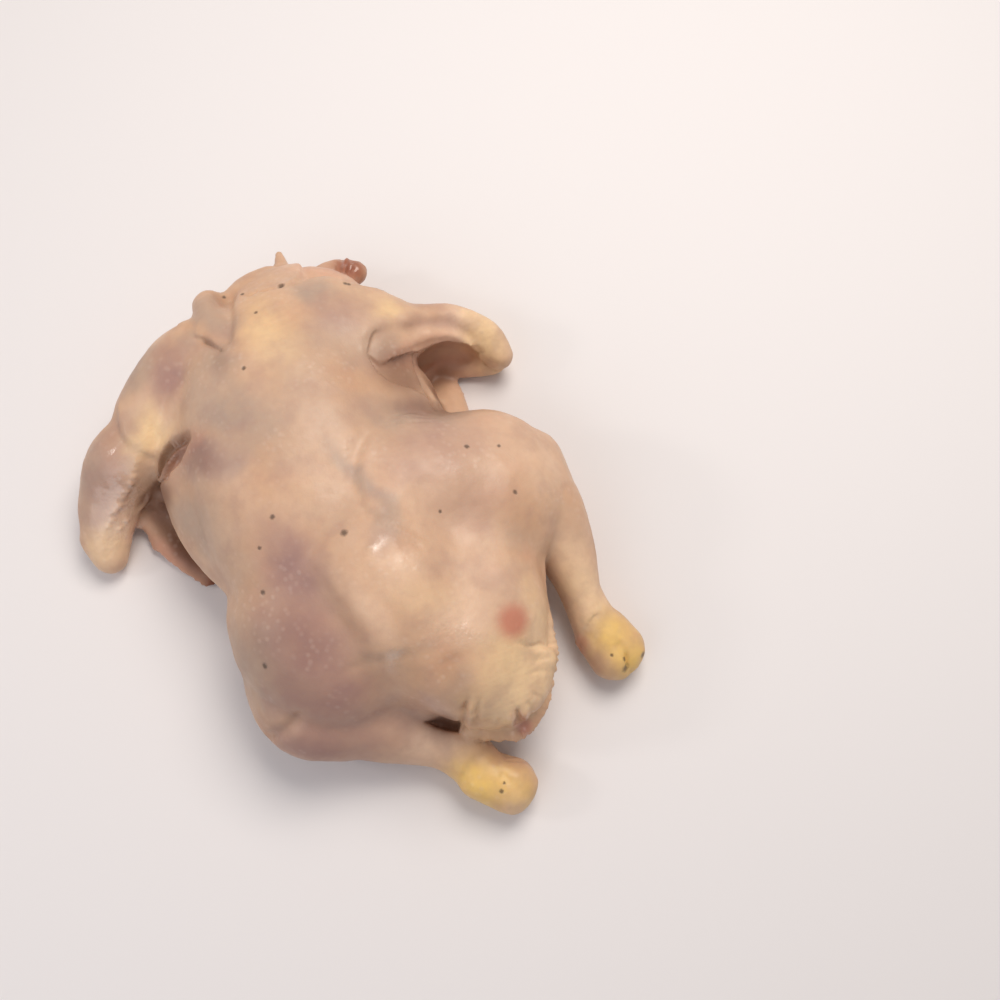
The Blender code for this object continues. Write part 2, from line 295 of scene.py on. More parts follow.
def trackLine(points, line):   # distance to the line, place along it, and side of it
    line = smoothLine(line)
    total = sum(np.linalg.norm(b - a) for a, b in zip(line[:-1], line[1:]))
    best, along, side = np.full(len(points), 1e9), np.zeros(len(points)), np.ones(len(points))
    passed = 0.0
    for a, b in zip(line[:-1], line[1:]):
        step = b - a
        length = np.linalg.norm(step)
        t = np.clip((points - a) @ step / length ** 2, 0, 1)
        gap = points - a - t[:, None] * step
        far = np.linalg.norm(gap, axis=1)
        near = far < best
        best[near] = far[near]
        along[near] = (passed + t[near] * length) / total
        side[near] = np.sign(step[0] * gap[near, 1] - step[1] * gap[near, 0])
        passed += length
    return best, along, side


def eased(values):             # 0 to 1 with a soft start and end
    values = np.clip(values, 0, 1)
    return values * values * (3 - 2 * values)


def fadedEnds(along, start, rate):     # 1 along a line's middle, less at both ends
    return eased(start + np.minimum(along, 1 - along) * rate)


# hollows, quill bumps and rags are given where they lie on the skin, in mm
details = {
    "fine": {              # the skin gets a finer mesh within this reach of these places
        "reach": 7.0,
        "lines": [[(66, 140, 28), (62, 128, 40)], [(36, 166, 34), (30, 120, 64), (18, 126, 64)],
                  [(73, -70, 44), (66, -101, 44), (53, -121, 36), (33, -130, 32), (8, -114, 30)],
                  [(-104, 58, 26), (-84, 71, 40), (-66, 66, 46), (-46, 68, 62)],
                  [(-90, 60, 18), (-74, 60, 34)],
                  [(18, -107, 69), (28, -120, 56), (46, -118, 58), (58, -100, 58)],
                  [(16, -146, 27), (27, -140, 18)], [(98, -114, 30), (97, -130, 17)],
                  [(-4, -104, 34), (8, -112, 28)]],
    },
    "pockets": [           # depth, width of the wall, highest z that it takes, outline from above
        (8.5, 2.6, 90, [(-70, 68), (-63, 73.5), (-56, 74.5), (-49, 72.5), (-44, 69), (-44, 66.5),
                        (-51, 63.5), (-58, 61.5), (-65, 60.5), (-71, 63)]),
        (3.6, 4.0, 90, [(51, 66), (51, 57), (56, 51), (63, 46), (72, 38), (73, 46), (74, 55), (75, 63),
                        (63, 61), (54, 62)]),
        (2.0, 6.0, 90, [(64, 78), (59, 77), (53.5, 73), (50.5, 66), (54, 61.5), (63, 60), (75, 64),
                        (84, 69), (74, 77)]),
        (7.0, 1.0, 46, [(-5, -103.5), (3, -105), (10, -108), (10, -112), (7, -115.5), (2, -111),
                        (-2, -107.5)]),
    ],
    # the armpit hollow's edge is smoothed once it is pressed in: how often, reach and line
    "edgePasses": 8, "pocketEdge": [(10, [(-68, 66, 41), (-57, 68, 52), (-46, 67, 63)])],
    "vanes": [(1.4, -3.6, [(-45, 67.5, 56), (-55, 67.5, 46), (-64, 65.5, 41), (-70, 63.5, 37)])],
    "quills": {"size": 1.5, "height": 0.95,
               "places": [(-76, 77, 47), (-78, 74, 46), (-81, 72, 43), (-84, 71, 40), (-88, 69, 37),
                          (-91, 67, 36), (-95, 65, 33), (-98, 64, 32), (-102, 62, 29), (-105, 60, 28),
                          (-101, 57, 25), (-96, 59, 25)]},
    "knobs": [(4.0, 1.6, (119, 46, 12)), (4.5, 1.0, (119, 80, 26)), (3.0, 1.1, (108, -121, 20)),
              (3.4, 1.0, (109, -114, 21)), (5.0, 1.2, (-122, 63, 16)), (3.0, 0.9, (31, -154, 18)),
              (4.0, 1.0, (93, -130, 15)), (4.0, 0.9, (15, -161, 14))],
    "rags": {"reach": 2.6, "out": 2.0, "tear": 2.0, "sizes": (3.0, 1.5), "fineShare": 0.6,
             "edges": [[(76, -58, 46), (73, -70, 45), (70, -84, 44), (67, -97, 44), (66, -101, 44),
                        (64, -106, 41), (60, -112, 39), (54, -119, 37), (48, -124, 36), (42, -127, 34),
                        (37, -131, 32), (33, -130, 32), (26, -127, 31), (19, -123, 30), (11, -117, 29),
                        (8, -112, 28)],
                       [(-93, 54, 6), (-88, 42, 5), (-82, 30, 4), (-77, 21, 3.5), (-73, 13, 3)]]},
    "rough": [(9.0, 0.7, 3.4, (68, 132, 30)), (5.0, 0.8, 2.4, (-74, 18, 5)),
              (6.0, 0.5, 2.6, (80, -105, 14))],
    "lumps": {"size": 17.0, "height": 0.8},
    "ripples": {"size": 5.0, "height": 0.2},
}

# centre, half sizes along and across, turn in degrees, strength,
# and the highest z where a tone stays low
tones = {
    # yellow fat; the blobs on the flap, the right leg and the right wing's end also paint warm bounce
    # light and painted light
    "fatAndPaintedLight": [((11, 95), (24, 12), 95, 0.6), ((72, 88), (10, 9), 0, 0.75), ((-65, 88), (13, 9), 50, 0.9),
            ((-58, 81), (9, 5), 0, 0.4), ((-112, 54), (11, 9), 60, 0.5), ((-66, -78), (12, 7), 0, 0.4),
            ((42, -100), (17, 15), 30, 0.45), ((-58, -62), (16, 10), -30, 0.2),
            ((58, 100), (10, 8), 0, 0.25), ((93, -84), (11, 24), 0, 0.5),
            ((50, -106), (22, 18), 20, 0.5), ((112, 62), (11, 19), 0, 0.9),
            ((20, -58), (14, 10), -40, 0.25), ((45, -116), (26, 9), 20, 0.55),
            ((66, -84), (7, 20), 0, 0.4), ((22, -113), (12, 8), -10, 0.4)],
    # grey patches of the back and neck, and painted shade on slopes and folds facing away from the
    # light, beside the armpit hollow and along the right thigh
    "greyAndPaintedShade": [((42, 110), (10, 14), 30, 0.95), ((-20, 62), (30, 14), -62, 0.95),
             ((-16, 92), (10, 14), 10, 0.85), ((-103, 82), (8, 22), -40, 0.8),
             ((-8, 118), (7, 18), 10, 0.9), ((-52, 14), (12, 40), 0, 0.35),
             ((-70, -46), (12, 30), 10, 0.7), ((38, 84), (18, 12), 0, 0.55),
             ((3, -6), (14, 18), 0, 0.35), ((20, 4), (4.5, 22), 14, 0.9),
             ((21, -20), (5, 12), -20, 0.7), ((60, 29), (28, 10), -14, 0.95),
             ((52, 18), (24, 12), -10, 0.4), ((-58, -60), (22, 9), -60, 0.5),
             ((75, -50), (8, 7), 0, 0.35), ((14, 54), (22, 30), 0, 0.45), ((60, 70), (10, 9), 0, 0.5),
             ((-60, -84), (14, 8), 0, 0.5), ((-56, -46), (16, 22), 0, 0.85),
             ((16, -102), (9, 6), 0, 0.5), ((-54, 120), (12, 10), 30, 0.8),
             ((46, 66), (10, 12), 0, 0.5), ((-37, 48), (18, 9), -38, 0.9),
             ((-63, 34), (9, 20), 30, 0.8), ((-24, 116), (7, 6), 0, 0.6)],
    # purple patches of the skin, and painted shade on the darker sides of the left thigh, by the elbow,
    # beside the armpit hollow and under the right wing
    "purpleAndPaintedShade": [((-36, -54), (19, 31), 10, 1.0), ((-44, -66), (20, 14), -20, 0.7),
               ((-26, -18), (15, 24), 6, 1.0), ((-36, -76), (24, 14), -18, 0.9),
               ((-50, -92), (36, 14), -26, 0.95), ((62, 4), (26, 18), 0, 0.5),
               ((-40, 108), (16, 11), 30, 1.0), ((50, 92), (14, 12), 0, 0.55),
               ((62, -28), (22, 14), 0, 0.35), ((40, 0), (16, 16), 0, 0.3),
               ((-8, -100), (20, 9), -26, 0.6), ((94, 88), (16, 5), -12, 0.4),
               ((-94, 80), (22, 12), 38, 0.6), ((-42, 50), (9, 15), 20, 0.7),
               ((92, 75), (18, 4.5), -10, 0.5), ((-70, 96), (12, 7), 20, 0.4),
               ((-34, 46), (16, 8), -38, 0.4)],
    "pink": [((36, -127), (5, 5), 0, 0.95), ((-86, 36), (26, 7), -63, 0.6, 22),
             ((80, 64), (26, 5), 0, 0.4), ((100, 59), (12, 7), 0, 0.3, 22),
             ((52, 130), (18, 9), -30, 0.35), ((50, -122), (20, 4), 24, 0.3),
             ((-56, 66), (12, 5), 14, 0.4), ((79, -104), (5, 5), 0, 0.7),
             ((-46, 62), (12, 5), 10, 0.3)],
    # raw meat at the neck stump and the wing's torn end; the strip on the left hand beside the flank is
    # reddish wet skin and painted shade
    "meat": [((67, 132), (9, 10), -30, 1.0), ((-73, 14), (5, 5), 0, 0.9, 20),
             ((-76, 30), (10, 3), -70, 0.45, 20), ((37, -127), (3, 5), 0, 0.3)],
    "yellow": [((100, -116), (19, 14), 100, 1.0), ((3, -140), (14, 13), -50, 1.0),
               ((19, -151), (13, 11), -50, 0.75)],
    "shade": [((86, 60), (13, 5.5), -6, 0.7), ((-60, 69.5), (12, 5.5), 14, 0.85),
              ((-50, 68), (7, 5), 0, 0.5), ((3, -109), (8, 3.6), -36, 1.0),
              ((-79.5, 39), (27, 5.5), -78, 1.0, 24), ((-79, 60), (11, 8), -60, 1.0, 32),
              ((-71, 56), (6, 9), 0, 0.8), ((-43, 53), (7, 12), 20, 0.35),
              ((-77, 66), (8, 5), 0, 0.6, 32), ((-15, 92), (4, 8), 0, 0.25),
              ((75.5, 44), (2.2, 14), 4, 0.9), ((62, 54), (12, 16), 0, 0.8),
              ((68, 32), (20, 6.5), -14, 0.65), ((-15, 105), (2, 9), 30, 0.3),
              ((-3, 134), (4, 7), 0, 0.4), ((1, 150), (3, 4), 0, 0.3), ((-46, -46), (18, 26), 20, 0.3),
              ((18, -98), (8, 12), 0, 0.16)],
    # painted light: lighter skin, brightened where the light falls on the right wing's end, the legs,
    # the hocks and the forearm's tip
    "paleAndPaintedLight": [((52, 126), (18, 8), -36, 0.4), ((-106, 56), (14, 14), 60, 0.9),
              ((-60, 92), (10, 12), 40, 0.45), ((40, -6), (18, 20), -10, 0.4),
              ((30, -70), (18, 12), 30, 0.4), ((88, 8), (16, 12), 0, 0.15),
              ((92, -82), (12, 24), 0, 1.0), ((-4, -58), (8, 18), 0, 0.5),
              ((98, -24), (14, 14), 0, 0.3), ((-30, 40), (10, 14), 0, 0.2),
              ((-5, -112), (18, 13), -50, 0.9), ((16, -160), (9, 7), 0, 0.7),
              ((108, 68), (17, 21), -20, 1.0), ((40, -114), (20, 9), 10, 0.8),
              ((18, -52), (12, 14), 0, 0.3), ((62, -98), (9, 18), 0, 0.7)],
    "wet": [((13, -30), (3.5, 2.5), 0, 1.0), ((-91, 68), (20, 5), 38, 1.0), ((25, -42), (6, 5), 0, 0.5),
            ((27, -80), (16, 7), -30, 0.9), ((33, -127), (9, 6), 0, 0.5), ((-3, -76), (5, 4), 0, 0.8),
            ((-95, 71), (20, 9), 35, 0.9), ((-100, 58), (10, 6), 40, 1.0),
            ((-60, 66), (12, 6), 14, 0.7), ((67, 132), (8, 8), 0, 0.3), ((24, 126), (8, 5), 0, 0.3)],
}

# a round bruise: place, size and strength
bruise = {"place": (53, -85, 73), "size": 10.5, "strength": 0.85, "colour": (0.56, 0.20, 0.13, 1)}

# dark stubs of feathers, and painted shade in small holes and in the shoulder fold: place, size
stubs = [((71, -2, 76), 1.3), ((82, -31, 74), 1.2), ((86, -7, 74), 1.0), ((45, -23, 77), 0.9),
         ((2, -17, 91), 1.7), ((-24, 7, 87), 1.2), ((-36, -2, 82), 1.0), ((-44, -20, 76), 1.3),
         ((-58, -50, 69), 1.5), ((-6, 81, 85), 1.1), ((11, 110, 74), 1.0), ((59, 108, 61), 1.1),
         ((13, -150, 27), 1.2), ((16, -147, 28), 0.8), ((28.5, 121.5, 65), 1.8), ((9, 128, 62), 1.1),
         ((0, 136, 53), 1.0), ((58, 109, 62), 1.2), ((97, -126, 22), 2.2), ((98, -122, 25), 1.3),
         ((107, -123, 19), 1.9), ((92, -117, 27), 0.9)]


def wavered(points, amount, size, seed):
    nextSeed = 7.3
    stray = [noiseField(points, size, seed + k * nextSeed) for k in range(3)]
    return points + amount * np.stack(stray, 1)


def insideOutline(points, outline, wall):
    outline = np.array(outline, float)
    x, y = points[:, 0], points[:, 1]
    inside = np.zeros(len(points), bool)
    gap = np.full(len(points), 1e9)
    for (ax, ay), (bx, by) in zip(outline, np.roll(outline, -1, 0)):
        crosses = (ay > y) != (by > y)
        sideX, sideY = bx - ax, by - ay
        reach = sideX * (y - ay) / (sideY if by != ay else 1e-9) + ax
        inside ^= crosses & (x < reach)
        t = np.clip(((x - ax) * sideX + (y - ay) * sideY) / (sideX ** 2 + sideY ** 2), 0, 1)
        gap = np.minimum(gap, np.hypot(x - ax - t * sideX, y - ay - t * sideY))
    return eased(0.5 + np.where(inside, gap, -gap) / wall)


def flatBlob(points, centre, half, turn):
    c, s = np.cos(np.radians(turn)), np.sin(np.radians(turn))
    x, y = points[:, 0] - centre[0], points[:, 1] - centre[1]
    return ((x * c + y * s) / half[0]) ** 2 + ((-x * s + y * c) / half[1]) ** 2


def makeSkin(name):
    bm = bmesh.new()
    for centre, half, turn, tilt in trunk["masses"]:
        basis = Euler((np.radians(tilt), 0, np.radians(turn))).to_matrix()
        eggShape(bm, centre, half, basis, trunk["sides"])
    mesh = bpy.data.meshes.new(name)
    bm.to_mesh(mesh)
    bm.free()
    skin = bpy.data.objects.new(name, mesh)
    bpy.context.scene.collection.objects.link(skin)
    joinSkin(skin, trunk["cell"], trunk["passes"])
    report("trunk joined")

    bm = bmesh.new()
    bm.from_mesh(skin.data)
    for knots in limbs["routes"].values():
        limb = limbMesh(knots)
        bm.from_mesh(limb)
        bpy.data.meshes.remove(limb)
    bm.to_mesh(skin.data)
    bm.free()
    joinSkin(skin, limbs["cell"], limbs["passes"])
    report("limbs joined, %d faces" % len(skin.data.polygons))
    softenSkin(skin, folds["soft"]["passes"], folds["soft"]["places"])
    sharpLaps = [lap[-1] for lap in folds["laps"][1:8]]      # all but right thigh and left ankle
    refineSkin(skin, details["fine"]["reach"], details["fine"]["lines"] + sharpLaps)
    report("fine places divided, %d faces" % len(skin.data.polygons))
    return skin


def refineSkin(skin, reach, lines):
    points = readPoints(skin.data)[0]
    near = np.zeros(len(points), bool)
    for line in lines:
        near |= trackLine(points, line)[0] < reach
    bm = bmesh.new()
    bm.from_mesh(skin.data)
    edges = [e for e in bm.edges if near[e.verts[0].index] and near[e.verts[1].index]]
    bmesh.ops.subdivide_edges(bm, edges=edges, cuts=1, use_grid_fill=True)
    bm.to_mesh(skin.data)
    bm.free()
    relaxSkin(skin, 2)


def softenSkin(skin, passes, places):
    points = readPoints(skin.data)[0]
    weight = np.zeros(len(points))
    for reach, line in places:
        weight = np.maximum(weight, np.exp(-(trackLine(points, line)[0] / reach) ** 2))
    group = skin.vertex_groups.new(name="soft")
    for index in np.nonzero(weight > folds["soft"]["least"])[0]:
        group.add([int(index)], float(weight[index]), "REPLACE")
    relaxSkin(skin, passes, "soft")


def settled(skin, line):       # the same points, on the skin
    bpy.context.view_layer.update()
    return [tuple(skin.closest_point_on_mesh(Vector(p) * mm)[1] / mm) for p in line]


def pressPockets(skin):
    points, normals = readPoints(skin.data)
    for depth, wall, top, outline in details["pockets"]:
        inside = insideOutline(wavered(points, amount=0.5, size=6.0, seed=3.0), outline, wall)
        upward = eased(normals[:, 2] * 3)
        points[:, 2] -= depth * inside * upward * (points[:, 2] < top)
    writePoints(skin.data, points)
    softenSkin(skin, details["edgePasses"], details["pocketEdge"])


def pressFolds(skin):
    points, normals = readPoints(skin.data)
    strayed = wavered(points, folds["waver"], size=8.0, seed=11.0)
    push = np.zeros(len(points))
    for reach, depth, line in folds["lines"] + details["vanes"]:
        gap, along, side = trackLine(strayed, settled(skin, line))
        push += depth * np.exp(-(gap / reach) ** 2) * fadedEnds(along, 0.35, 5)
    for lift, liftReach, press, pressReach, edge, line in folds["laps"]:
        gap, along, side = trackLine(strayed, settled(skin, line))
        over = eased(0.5 + side * gap / (2 * edge))
        under = press * np.exp(-gap / pressReach) * (1 - over)
        push += fadedEnds(along, 0, 6) * (under - lift * np.exp(-gap / liftReach) * over)
    writePoints(skin.data, points - normals * push[:, None])


def raiseDetails(skin):
    points, normals = readPoints(skin.data)
    rise = np.zeros(len(points))
    quills = details["quills"]
    bumps = [(quills["size"], quills["height"], place) for place in quills["places"]] + details["knobs"]
    for size, height, place in bumps:
        away = np.linalg.norm(points - np.array(place), axis=1)
        rise += height * np.exp(-(away / size) ** 2)
    for reach, height, size, place in details["rough"]:
        away = np.linalg.norm(points - np.array(place), axis=1)
        rise += height * np.exp(-(away / reach) ** 4) * noiseField(points, size, seed=4.0)
    lumps, ripples = details["lumps"], details["ripples"]
    rise += lumps["height"] * noiseField(points, lumps["size"], seed=1.0)
    rise += ripples["height"] * noiseField(points, ripples["size"], seed=2.0)
    points += normals * rise[:, None]

    rags = details["rags"]
    outward = normals * np.array([1, 1, 0])
    upright = points * np.array([1, 1, 0.2])       # the tears run up and down
    coarse, small = rags["sizes"]
    tear = noiseField(upright, coarse, seed=5.0) \
        + rags["fineShare"] * noiseField(upright, small, seed=9.0)
    for edge in rags["edges"]:
        gap, along, side = trackLine(points, edge)
        pull = (rags["out"] + rags["tear"] * tear) * np.exp(-(gap / rags["reach"]) ** 2)
        points += outward * (pull * fadedEnds(along, 0.2, 8))[:, None]

    points += np.array(drawingShift)
    points[:, 2] = np.maximum(points[:, 2], 0.0)
    writePoints(skin.data, points)


def paintZones(skin):
    points = readPoints(skin.data)[0] - np.array(drawingShift)
    strayed = wavered(points, amount=5.0, size=17.0, seed=21.0)
    strayed = wavered(strayed, amount=2.0, size=6.0, seed=31.0)
    exact = wavered(points, amount=0.8, size=5.0, seed=41.0)
    topFade = 6
    masks = {}
    for zone, blobs in tones.items():
        total = np.zeros(len(points))
        base = exact if zone in ("shade", "meat") else strayed
        for centre, half, turn, strength, *top in blobs:
            blob = strength * np.exp(-flatBlob(base, centre, half, turn) ** 1.5)
            if top:
                blob = blob * eased((top[0] - points[:, 2]) / topFade)
            total = total + blob - total * blob
        masks[zone] = total
    # the layers hold the painted tones; several are painted light and painted shade, and the last layer
    # holds raw meat, painted shade and hock yellow
    layers = {"skinTones": ("fatAndPaintedLight", "purpleAndPaintedShade", "pink"), "skinVeils": ("greyAndPaintedShade", "paleAndPaintedLight", "wet"),
              "skinMarksAndShade": ("meat", "shade", "yellow")}
    for layer, zones in layers.items():
        colours = np.ones((len(points), 4))
        for k, zone in enumerate(zones):
            colours[:, k] = masks[zone]
        attribute = skin.data.color_attributes.new(layer, "FLOAT_COLOR", "POINT")
        attribute.data.foreach_set("color", colours.ravel())


# colours of the skin, then how it shines and how rough it feels
finish = {
    # the lightest cream also paints light, the fat yellow also paints warm bounce light, the grey and
    # purple also paint shade, the shade brown is painted shade, and the stub brown also paints shade in
    # small holes
    "pale": (0.66, 0.43, 0.29, 1), "warm": (0.61, 0.365, 0.225, 1), "fatAndPaintedLight": (0.88, 0.62, 0.33, 1),
    "greyAndPaintedShade": (0.42, 0.305, 0.24, 1),
    "yellow": (0.86, 0.56, 0.165, 1), "paleAndPaintedLight": (0.90, 0.63, 0.45, 1),
    "purpleAndPaintedShade": (0.37, 0.21, 0.18, 1), "pink": (0.58, 0.235, 0.165, 1), "meat": (0.33, 0.11, 0.06, 1),
    "shade": (0.16, 0.06, 0.03, 1), "stub": (0.07, 0.045, 0.03, 1),
    "pore": (0.82, 0.64, 0.53, 1), "speck": (0.40, 0.22, 0.17, 1),
    # scale and detail of a noise, then its range and what that range becomes
    "patterns": {
        "broad": (22.0, 4.0, 0.35, 0.68, 0.0, 1.0), "patchy": (70.0, 3.0, 0.25, 0.72, 0.7, 1.0),
        "blush": (42.0, 2.0, 0.56, 0.8, 0.0, 0.18), "cool": (58.0, 4.0, 0.48, 0.72, 0.0, 0.27),
        "porous": (34.0, 2.0, 0.42, 0.66, 0.0, 1.0), "mottle": (240.0, 4.0, 0.3, 0.75, 0.0, 0.13),
        "damp": (90.0, 3.0, 0.36, 0.54, 0.0, 1.0), "matt": (60.0, 3.0, 0.3, 0.7, 0.36, 0.52),
    },
    "pores": {"scale": 260.0, "smooth": 0.6, "random": 0.8, "range": (0.45, 0.1), "colour": 0.12},
    "stray": {"scale": 700.0, "reach": 0.0012},      # how ragged a stub's edge is
    "stubSpread": 1.25, "stubStrength": 0.75,
    "wetRoughness": 0.12, "coat": {"weight": 0.9, "roughness": 0.09, "ior": 1.9},
    "scatter": 0.10, "scatterSize": 0.003, "scatterColour": (1.0, 0.45, 0.25), "specular": 0.34,
    "wrinkle": {"scale": 110.0, "distortion": 5.0, "detailScale": 1.6, "height": 0.34},
    "bump": {"strength": 0.5, "depth": 0.35, "pores": 0.5, "stubs": 1.2},
    # scale, detail and height of the noises that lift the skin
    "grain": (900.0, 4.0, 0.35), "dimples": (200.0, 3.0, 0.9), "drops": (420.0, 2.0, 2.6),
}


def link(tree, a, b):
    tree.links.new(a, b)


def addNode(tree, kind, **values):
    node = tree.nodes.new(kind)
    for key, value in values.items():
        setattr(node, key, value)
    return node


def fill(tree, socket, value):
    if isinstance(value, bpy.types.NodeSocket):
        link(tree, value, socket)
    else:
        socket.default_value = value


def mixColour(tree, amount, first, second):
    node = addNode(tree, "ShaderNodeMix", data_type="RGBA")
    for k, value in ((0, amount), (6, first), (7, second)):      # the node's sockets for colours
        fill(tree, node.inputs[k], value)
    return node.outputs[2]


def mathNode(tree, operation, first, second):
    node = addNode(tree, "ShaderNodeMath", operation=operation)
    fill(tree, node.inputs[0], first)
    fill(tree, node.inputs[1], second)
    return node.outputs[0]


def stretched(tree, value, low, high, toLow=0.0, toHigh=1.0):
    node = addNode(tree, "ShaderNodeMapRange", interpolation_type="SMOOTHSTEP")
    link(tree, value, node.inputs["Value"])
    for key, number in (("From Min", low), ("From Max", high), ("To Min", toLow), ("To Max", toHigh)):
        node.inputs[key].default_value = number
    return node.outputs[0]


def noiseNode(tree, place, scale, detail):
    node = addNode(tree, "ShaderNodeTexNoise")
    link(tree, place, node.inputs["Vector"])
    node.inputs["Scale"].default_value = scale
    node.inputs["Detail"].default_value = detail
    return node.outputs["Fac"]


def pattern(tree, place, name):
    scale, detail, *span = finish["patterns"][name]
    return stretched(tree, noiseNode(tree, place, scale, detail), *span)


def paintedLayer(tree, layer):
    painted = addNode(tree, "ShaderNodeAttribute", attribute_name=layer)
    node = addNode(tree, "ShaderNodeSeparateColor")
    link(tree, painted.outputs["Color"], node.inputs[0])
    return node.outputs[:3]


def makeStubGroup():
    group = bpy.data.node_groups.new("featherStub", "ShaderNodeTree")
    kinds = {"Place": "NodeSocketVector", "Centre": "NodeSocketVector", "Size": "NodeSocketFloat"}
    for label, kind in kinds.items():
        group.interface.new_socket(label, in_out="INPUT", socket_type=kind)
    group.interface.new_socket("Mask", in_out="OUTPUT", socket_type="NodeSocketFloat")
    start, end = group.nodes.new("NodeGroupInput"), group.nodes.new("NodeGroupOutput")
    gap = addNode(group, "ShaderNodeVectorMath", operation="DISTANCE")
    link(group, start.outputs["Place"], gap.inputs[0])
    link(group, start.outputs["Centre"], gap.inputs[1])
    share = mathNode(group, "DIVIDE", gap.outputs["Value"], start.outputs["Size"])
    outer, inner = 1.15, 0.3
    link(group, stretched(group, share, outer, inner), end.inputs["Mask"])
    return group


def roundMask(tree, group, place, centre, size):
    node = addNode(tree, "ShaderNodeGroup", node_tree=group)
    link(tree, place, node.inputs["Place"])
    node.inputs["Centre"].default_value = centre
    node.inputs["Size"].default_value = size * mm
    return node.outputs[0]


def skinColour(tree, place, dots):
    fatAndPaintedLight, purpleAndPaintedShade, pink = paintedLayer(tree, "skinTones")
    greyAndPaintedShade, paleAndPaintedLight = paintedLayer(tree, "skinVeils")[:2]
    meat, shade, yellow = paintedLayer(tree, "skinMarksAndShade")
    patchy = pattern(tree, place, "patchy")
    colour = mixColour(tree, pattern(tree, place, "broad"), finish["pale"], finish["warm"])
    colour = mixColour(tree, pattern(tree, place, "blush"), colour, finish["pink"])
    # each painted tone, how much of it shows, and its colour; the lighter cream, fat, grey and purple
    # tones also carry painted light and painted shade
    for mask, share, tone in ((paleAndPaintedLight, 0.8, "paleAndPaintedLight"), (fatAndPaintedLight, 0.85, "fatAndPaintedLight"), (yellow, patchy, "yellow"),
                              (greyAndPaintedShade, patchy, "greyAndPaintedShade"), (purpleAndPaintedShade, patchy, "purpleAndPaintedShade"),
                              (pink, 0.85, "pink")):
        colour = mixColour(tree, mathNode(tree, "MULTIPLY", mask, share), colour, finish[tone])
    colour = mixColour(tree, pattern(tree, place, "cool"), colour, finish["purpleAndPaintedShade"])
    colour = mixColour(tree, meat, colour, finish["meat"])
    colour = mixColour(tree, mathNode(tree, "MULTIPLY", shade, 0.85), colour, finish["shade"])
    pale = mathNode(tree, "MULTIPLY", dots, finish["pores"]["colour"])
    colour = mixColour(tree, pale, colour, finish["pore"])
    return mixColour(tree, pattern(tree, place, "mottle"), colour, finish["speck"])


def poreDots(tree, place):
    pores = finish["pores"]
    node = addNode(tree, "ShaderNodeTexVoronoi", feature="SMOOTH_F1")
    link(tree, place, node.inputs["Vector"])
    node.inputs["Scale"].default_value = pores["scale"]
    node.inputs["Smoothness"].default_value = pores["smooth"]
    node.inputs["Randomness"].default_value = pores["random"]
    dots = stretched(tree, node.outputs["Distance"], *pores["range"])
    return mathNode(tree, "MULTIPLY", dots, pattern(tree, place, "porous"))


def spotMasks(tree, place, skin):      # the bruise, and all the stubs together, with the painted shade in small holes
    reach = finish["stray"]["reach"]
    stray = addNode(tree, "ShaderNodeTexNoise")
    link(tree, place, stray.inputs["Vector"])
    stray.inputs["Scale"].default_value = finish["stray"]["scale"]
    shifted = addNode(tree, "ShaderNodeVectorMath", operation="MULTIPLY_ADD")
    link(tree, stray.outputs["Color"], shifted.inputs[0])
    shifted.inputs[1].default_value = (reach, reach, reach)
    link(tree, place, shifted.inputs[2])
    middle = Vector((reach, reach, reach)) / 2

    group = makeStubGroup()
    spots = [bruise["place"]] + [stub[0] for stub in stubs]
    spots = settled(skin, [[a + b for a, b in zip(spot, drawingShift)] for spot in spots])
    spots = [Vector(spot) * mm + middle for spot in spots]
    bruised = roundMask(tree, group, shifted.outputs[0], spots[0], bruise["size"])
    total = None
    for centre, stub in zip(spots[1:], stubs):
        size = stub[1] * finish["stubSpread"]
        mask = roundMask(tree, group, shifted.outputs[0], centre, size)
        total = mask if total is None else mathNode(tree, "MAXIMUM", total, mask)
    return bruised, total


def skinHeight(tree, place, dots, holes):
    bump, wrinkle = finish["bump"], finish["wrinkle"]
    fatAndPaintedLight = paintedLayer(tree, "skinTones")[0]
    wetness = paintedLayer(tree, "skinVeils")[2]
    node = addNode(tree, "ShaderNodeTexWave", wave_type="BANDS", bands_direction="Y")
    link(tree, place, node.inputs["Vector"])
    node.inputs["Scale"].default_value = wrinkle["scale"]
    node.inputs["Distortion"].default_value = wrinkle["distortion"]
    node.inputs["Detail Scale"].default_value = wrinkle["detailScale"]
    lines = mathNode(tree, "MULTIPLY", fatAndPaintedLight, wrinkle["height"])
    lines = mathNode(tree, "MULTIPLY", node.outputs["Fac"], lines)

    height = mathNode(tree, "MULTIPLY", dots, bump["pores"])
    height = mathNode(tree, "ADD", height, lines)
    for name, mask in (("grain", None), ("dimples", None), ("drops", wetness)):
        scale, detail, lift = finish[name]
        rise = mathNode(tree, "MULTIPLY", noiseNode(tree, place, scale, detail), lift)
        if mask is not None:
            rise = mathNode(tree, "MULTIPLY", rise, mask)
        height = mathNode(tree, "ADD", height, rise)
    return mathNode(tree, "SUBTRACT", height, mathNode(tree, "MULTIPLY", holes, bump["stubs"]))


